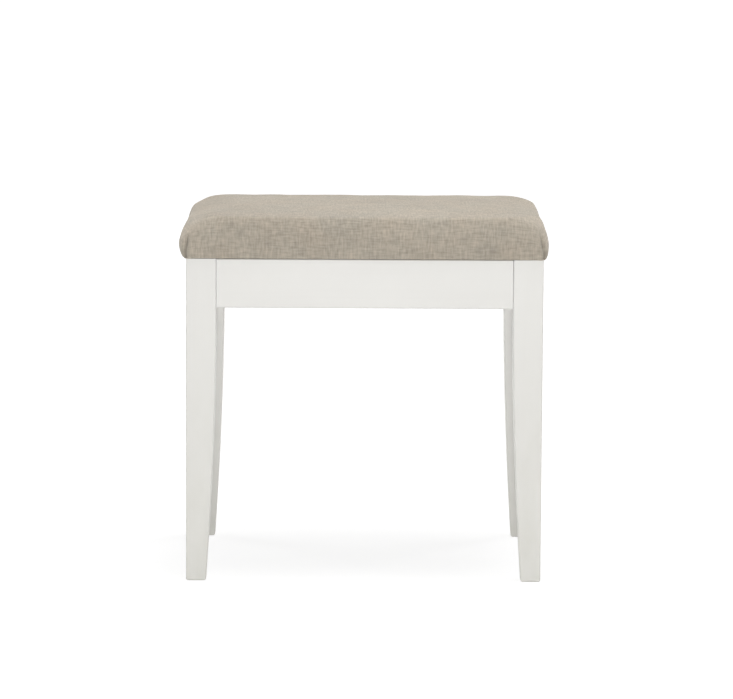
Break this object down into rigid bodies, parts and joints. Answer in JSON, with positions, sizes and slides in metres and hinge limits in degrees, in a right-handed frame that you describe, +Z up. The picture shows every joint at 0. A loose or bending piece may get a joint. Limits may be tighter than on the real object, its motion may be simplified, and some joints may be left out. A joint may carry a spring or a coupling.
{
  "type": "vanity stool",
  "caption": "Backless dressing-table stool with a white painted wooden frame, tapered legs, deep rails and a crowned seat pad covered in woven linen.",
  "frame": {"origin": "on the floor, under the middle of the stool", "axes": "+Z up, front facing -Y, +X to the right seen from the front"},
  "size_m": [0.4654, 0.3554, 0.4683],
  "materials": {
    "painted_wood": "satin",
    "bare_pine": "matte",
    "beech_dowel": "matte",
    "plywood": "matte",
    "zinc_steel": "satin",
    "foam": "matte",
    "linen_fabric": "matte",
    "dust_cover_felt": "matte"
  },
  "bodies": {
    "root": {"leg_front_left": "painted_wood", "leg_front_right": "painted_wood", "leg_back_right": "painted_wood", "leg_back_left": "painted_wood", "rail_front": "painted_wood", "rail_right": "painted_wood", "rail_back": "painted_wood", "rail_left": "painted_wood", "corner_block_front_left": "bare_pine", "corner_block_front_right": "bare_pine", "corner_block_back_right": "bare_pine", "corner_block_back_left": "bare_pine", "dowel_front_left_front_rail_lower": "beech_dowel", "dowel_front_left_front_rail_upper": "beech_dowel", "dowel_front_left_left_rail_lower": "beech_dowel", "dowel_front_left_left_rail_upper": "beech_dowel", "dowel_front_right_right_rail_lower": "beech_dowel", "dowel_front_right_right_rail_upper": "beech_dowel", "dowel_front_right_front_rail_lower": "beech_dowel", "dowel_front_right_front_rail_upper": "beech_dowel", "dowel_back_right_back_rail_lower": "beech_dowel", "dowel_back_right_back_rail_upper": "beech_dowel", "dowel_back_right_right_rail_lower": "beech_dowel", "dowel_back_right_right_rail_upper": "beech_dowel", "dowel_back_left_left_rail_lower": "beech_dowel", "dowel_back_left_left_rail_upper": "beech_dowel", "dowel_back_left_back_rail_lower": "beech_dowel", "dowel_back_left_back_rail_upper": "beech_dowel", "hanger_bolt_front_left": "zinc_steel", "hanger_bolt_front_right": "zinc_steel", "hanger_bolt_back_right": "zinc_steel", "hanger_bolt_back_left": "zinc_steel", "washer_front_left": "zinc_steel", "washer_front_right": "zinc_steel", "washer_back_right": "zinc_steel", "washer_back_left": "zinc_steel", "nut_front_left": "zinc_steel", "nut_front_right": "zinc_steel", "nut_back_right": "zinc_steel", "nut_back_left": "zinc_steel", "block_screw_front_left_front_rail": "zinc_steel", "block_screw_front_left_left_rail": "zinc_steel", "block_screw_front_right_right_rail": "zinc_steel", "block_screw_front_right_front_rail": "zinc_steel", "block_screw_back_right_back_rail": "zinc_steel", "block_screw_back_right_right_rail": "zinc_steel", "block_screw_back_left_left_rail": "zinc_steel", "block_screw_back_left_back_rail": "zinc_steel", "seat_screw_front_left": "zinc_steel", "seat_screw_front_right": "zinc_steel", "seat_screw_back_right": "zinc_steel", "seat_screw_back_left": "zinc_steel", "seat_board": "plywood", "foam_pad": "foam", "fabric_cover": "linen_fabric", "dust_cover": "dust_cover_felt"}
  },
  "joints": []
}
